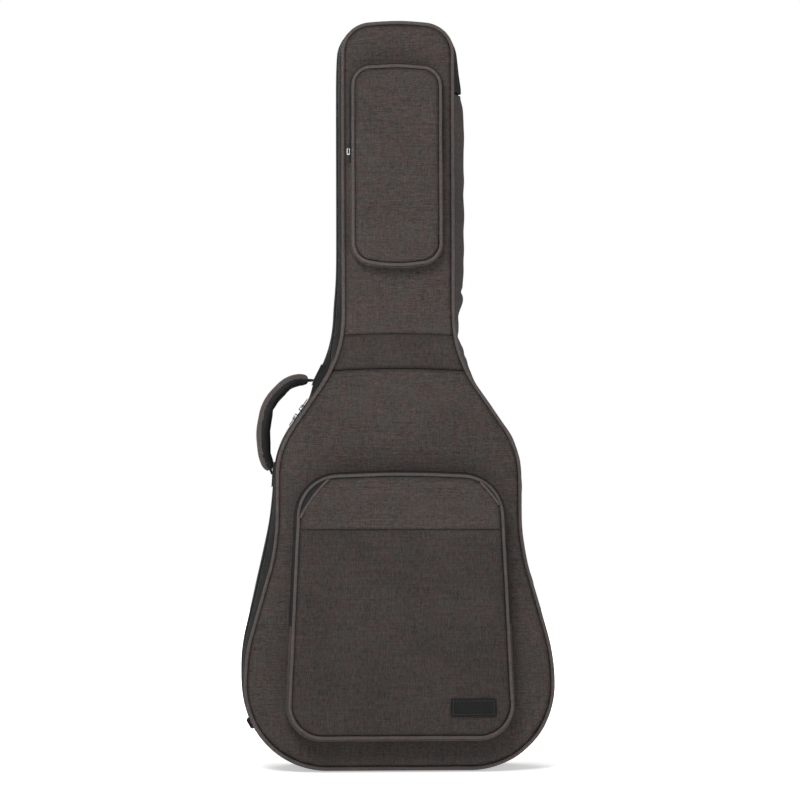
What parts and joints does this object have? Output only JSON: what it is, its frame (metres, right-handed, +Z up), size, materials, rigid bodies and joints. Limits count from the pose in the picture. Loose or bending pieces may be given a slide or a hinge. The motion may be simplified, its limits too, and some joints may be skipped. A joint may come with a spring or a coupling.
{
  "type": "padded gig bag",
  "caption": "Padded guitar gig bag with a zippered lid, a large front pocket, a headstock pocket, a side carry handle and backpack straps.",
  "frame": {"origin": "centre of the flat bottom face that the bag stands on", "axes": "+Z up along the bag, +X to the right seen from the front, the front faces -Y"},
  "size_m": [0.454, 0.2148, 1.0964],
  "materials": {
    "heather_cloth": "matte",
    "piping_cloth": "matte",
    "black_nylon": "matte",
    "zipper_coil": "satin",
    "slider_metal": "satin",
    "pull_cord": "matte",
    "buckle_plastic": "satin",
    "webbing": "matte",
    "label_cloth": "satin",
    "padding_foam": "matte",
    "plush_lining": "matte"
  },
  "bodies": {
    "shell": {"back_panel": "black_nylon", "back_panel_foam": "padding_foam", "back_lining": "plush_lining", "back_piping": "piping_cloth", "rear_zipper_band": "black_nylon", "rear_hinge_gusset": "heather_cloth", "rear_gusset_foam": "padding_foam", "rear_zipper": "zipper_coil", "handle_patches": "webbing", "strap_tabs": "webbing", "strap_anchors": "black_nylon", "neck_cradle": "plush_lining", "rear_gusset": "heather_cloth"},
    "lid": {"front_body_panel": "heather_cloth", "front_neck_band": "heather_cloth", "front_neck_panel": "heather_cloth", "front_panel_foam": "padding_foam", "front_lining": "plush_lining", "front_piping": "piping_cloth", "front_zipper_band": "black_nylon", "front_hinge_gusset": "heather_cloth", "front_gusset_foam": "padding_foam", "front_zipper": "zipper_coil", "large_pocket_gusset": "heather_cloth", "large_pocket_rear_band": "black_nylon", "large_pocket_rear_zipper": "zipper_coil", "large_pocket_piping": "piping_cloth", "large_pocket_face": "heather_cloth", "woven_label": "label_cloth", "head_pocket_gusset": "heather_cloth", "head_pocket_rear_band": "black_nylon", "head_pocket_rear_zipper": "zipper_coil", "head_pocket_piping": "piping_cloth", "head_pocket_face": "heather_cloth"},
    "large_pocket_flap": {"large_pocket_flap_band": "black_nylon", "large_pocket_flap_zipper": "zipper_coil", "large_pocket_flap_piping": "piping_cloth", "large_pocket_flap_face": "heather_cloth", "large_pocket_yoke": "heather_cloth", "large_pocket_wedges": "black_nylon"},
    "head_pocket_flap": {"head_pocket_flap_zipper": "zipper_coil", "head_pocket_flap_piping": "piping_cloth", "head_pocket_flap_face": "heather_cloth"},
    "main_slider_upper": {"main_slider_upper": "slider_metal"},
    "main_pull_upper": {"main_pull_upper": "pull_cord"},
    "main_slider_lower": {"main_slider_lower": "slider_metal"},
    "main_pull_lower": {"main_pull_lower": "pull_cord"},
    "large_pocket_slider": {"large_pocket_slider": "slider_metal"},
    "large_pocket_pull": {"large_pocket_pull": "pull_cord"},
    "head_pocket_slider": {"head_pocket_slider": "slider_metal"},
    "head_pocket_pull": {"head_pocket_pull": "pull_cord"},
    "carry_handle": {"handle_grip": "heather_cloth", "handle_webbing": "webbing"},
    "neck_strap": {"neck_strap": "webbing"},
    "strap_pad_left": {"strap_pad_left": "heather_cloth", "strap_buckle_left": "buckle_plastic"},
    "strap_pad_right": {"strap_pad_right": "heather_cloth", "strap_buckle_right": "buckle_plastic"},
    "strap_webbing_left": {"strap_webbing_left": "webbing"},
    "strap_webbing_right": {"strap_webbing_right": "webbing"}
  },
  "joints": [
    {"name": "lid_hinge", "type": "hinge", "parent": "shell", "child": "lid", "pos_m": [0.235, -0.0528, 0.15], "axis": [-0.159, 0.0539, 0.9858], "range_deg": [0, 150]},
    {"name": "main_slider_upper_slide", "type": "slide", "parent": "shell", "child": "main_slider_upper", "axis": [0.567, 0.045, 0.8225], "range_m": [0, 0.036]},
    {"name": "main_pull_upper_hinge", "type": "hinge", "parent": "main_slider_upper", "child": "main_pull_upper", "pos_m": [-0.14143, -0.03211, 0.52812], "axis": [0, -0.9985, 0.0546], "range_deg": [0, 150]},
    {"name": "main_slider_lower_slide", "type": "slide", "parent": "shell", "child": "main_slider_lower", "axis": [-0.567, -0.045, -0.8225], "range_m": [0, 0.022]},
    {"name": "main_pull_lower_hinge", "type": "hinge", "parent": "main_slider_lower", "child": "main_pull_lower", "pos_m": [-0.15051, -0.03284, 0.51494], "axis": [0, 0.9985, -0.0546], "range_deg": [0, 150]},
    {"name": "large_pocket_slider_slide", "type": "slide", "parent": "lid", "child": "large_pocket_slider", "axis": [0.0465, 0.0546, 0.9974], "range_m": [0, 0.13]},
    {"name": "large_pocket_pull_hinge", "type": "hinge", "parent": "large_pocket_slider", "child": "large_pocket_pull", "pos_m": [-0.16112, -0.09658, 0.22845], "axis": [0, -0.9985, 0.0546], "range_deg": [0, 170]},
    {"name": "head_pocket_slider_slide", "type": "slide", "parent": "lid", "child": "head_pocket_slider", "axis": [0, 0.0546, 0.9985], "range_m": [0, 0.085]},
    {"name": "head_pocket_pull_hinge", "type": "hinge", "parent": "head_pocket_slider", "child": "head_pocket_pull", "pos_m": [-0.0735, -0.05223, 0.90187], "axis": [0, -0.9985, 0.0546], "range_deg": [0, 170]},
    {"name": "large_pocket_flap_hinge", "type": "hinge", "parent": "lid", "child": "large_pocket_flap", "pos_m": [0, -0.12132, 0.21562], "axis": [1, 0, 0], "range_deg": [0, 100]},
    {"name": "head_pocket_flap_hinge", "type": "hinge", "parent": "lid", "child": "head_pocket_flap", "pos_m": [0, -0.06659, 0.88663], "axis": [1, 0, 0], "range_deg": [0, 100]},
    {"name": "carry_handle_hinge", "type": "hinge", "parent": "shell", "child": "carry_handle", "pos_m": [-0.13, 0.014, 0.571], "axis": [0.4698, 0, 0.8828], "range_deg": [-55, 55]},
    {"name": "neck_strap_hinge", "type": "hinge", "parent": "shell", "child": "neck_strap", "pos_m": [-0.056, 0.0153, 0.69], "axis": [0, 0, -1], "range_deg": [0, 22]},
    {"name": "strap_pad_left_hinge", "type": "hinge", "parent": "shell", "child": "strap_pad_left", "pos_m": [0, 0.064, 0.578], "axis": [1, 0, 0], "range_deg": [0, 18]},
    {"name": "strap_webbing_left_hinge", "type": "hinge", "parent": "shell", "child": "strap_webbing_left", "pos_m": [0, 0.0667, 0.064], "axis": [-1, 0, 0], "range_deg": [0, 18]},
    {"name": "strap_pad_right_hinge", "type": "hinge", "parent": "shell", "child": "strap_pad_right", "pos_m": [0, 0.064, 0.578], "axis": [1, 0, 0], "range_deg": [0, 18]},
    {"name": "strap_webbing_right_hinge", "type": "hinge", "parent": "shell", "child": "strap_webbing_right", "pos_m": [0, 0.0667, 0.064], "axis": [-1, 0, 0], "range_deg": [0, 18]}
  ],
  "couplings": [
    {"joint": "strap_webbing_left_hinge", "follows": "strap_pad_left_hinge", "ratio": 0.96},
    {"joint": "strap_webbing_right_hinge", "follows": "strap_pad_right_hinge", "ratio": 0.96}
  ]
}
